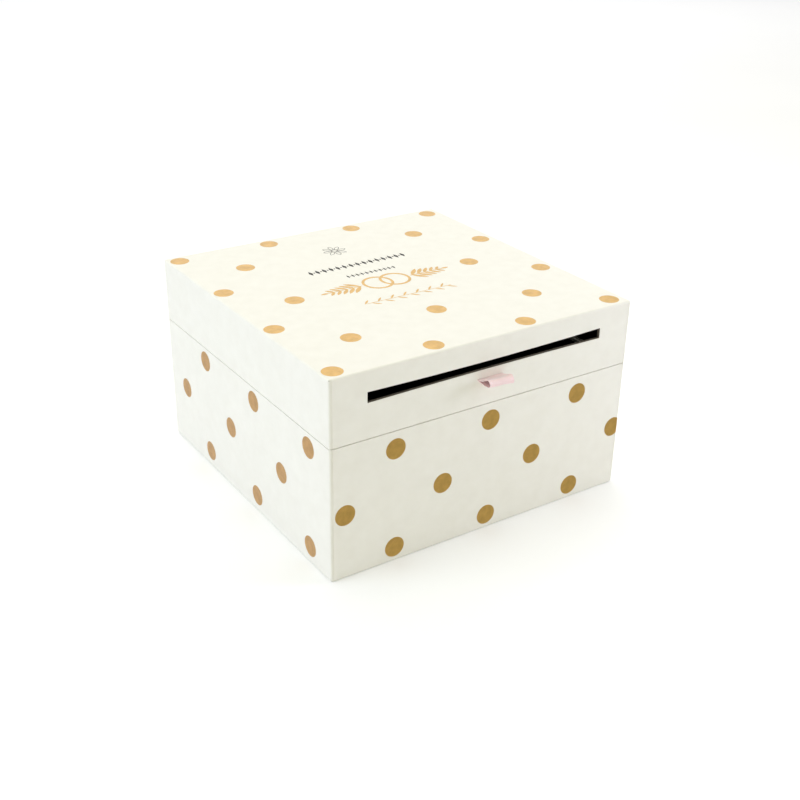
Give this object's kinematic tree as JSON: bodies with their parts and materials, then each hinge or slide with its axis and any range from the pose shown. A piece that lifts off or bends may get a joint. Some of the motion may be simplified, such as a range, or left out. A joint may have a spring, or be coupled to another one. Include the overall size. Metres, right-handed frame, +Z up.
{
  "type": "wedding card box",
  "caption": "Square paper-covered board box with a hinged lid, a long posting slot in the lid's front and a satin ribbon pull tab, for collecting wedding cards.",
  "frame": {"origin": "centre of the underside, on the surface that the box stands on", "axes": "+Z up, -Y towards the front with the posting slot and the ribbon tab, +X to the right seen from the front"},
  "size_m": [0.3002, 0.3167, 0.1801],
  "materials": {
    "pearl_paper": "matt pearl coated paper",
    "plain_paper": "matt uncoated paper",
    "lining_paper": "matt black lining paper",
    "greyboard": "raw pressed grey-brown board",
    "corner_tape": "kraft paper",
    "hinge_paper": "embossed hinge paper",
    "gold_foil": "hot-stamped satin gold foil",
    "black_print": "matt black print",
    "pink_satin": "satin ribbon"
  },
  "bodies": {
    "base": {"base_board": "greyboard", "base_corner_tapes": "corner_tape", "base_wrap": "pearl_paper", "base_foil_dots": "gold_foil", "base_bottom_sheet": "plain_paper", "base_wall_lining": "lining_paper", "base_floor_pad": "lining_paper", "hinge_strip_outer": "hinge_paper", "hinge_strip_inner": "lining_paper", "lid_stay_left": "pink_satin", "lid_stay_right": "pink_satin"},
    "lid": {"lid_board": "greyboard", "lid_corner_tapes": "corner_tape", "lid_wrap": "pearl_paper", "lid_foil_dots": "gold_foil", "lid_gold_ornament": "gold_foil", "lid_black_ornament": "black_print", "lid_wall_lining": "lining_paper", "lid_top_pad": "lining_paper", "ribbon_tab_patch": "lining_paper"},
    "pull_tab": {"ribbon_tab": "pink_satin"}
  },
  "joints": [
    {"name": "lid_hinge", "type": "hinge", "parent": "base", "child": "lid", "pos_m": [0, 0.15, 0.1215], "axis": [-1, 0, 0], "range_deg": [0, 100], "deforming": ["hinge_strip_outer", "hinge_strip_inner", "lid_stay_left", "lid_stay_right"]},
    {"name": "tab_bend", "type": "hinge", "parent": "lid", "child": "pull_tab", "pos_m": [0, -0.15, 0.1455], "axis": [-1, 0, 0], "range_deg": [-30, 60], "stiffness_Nm_per_rad": 0.0005, "deforming": ["ribbon_tab"]}
  ]
}
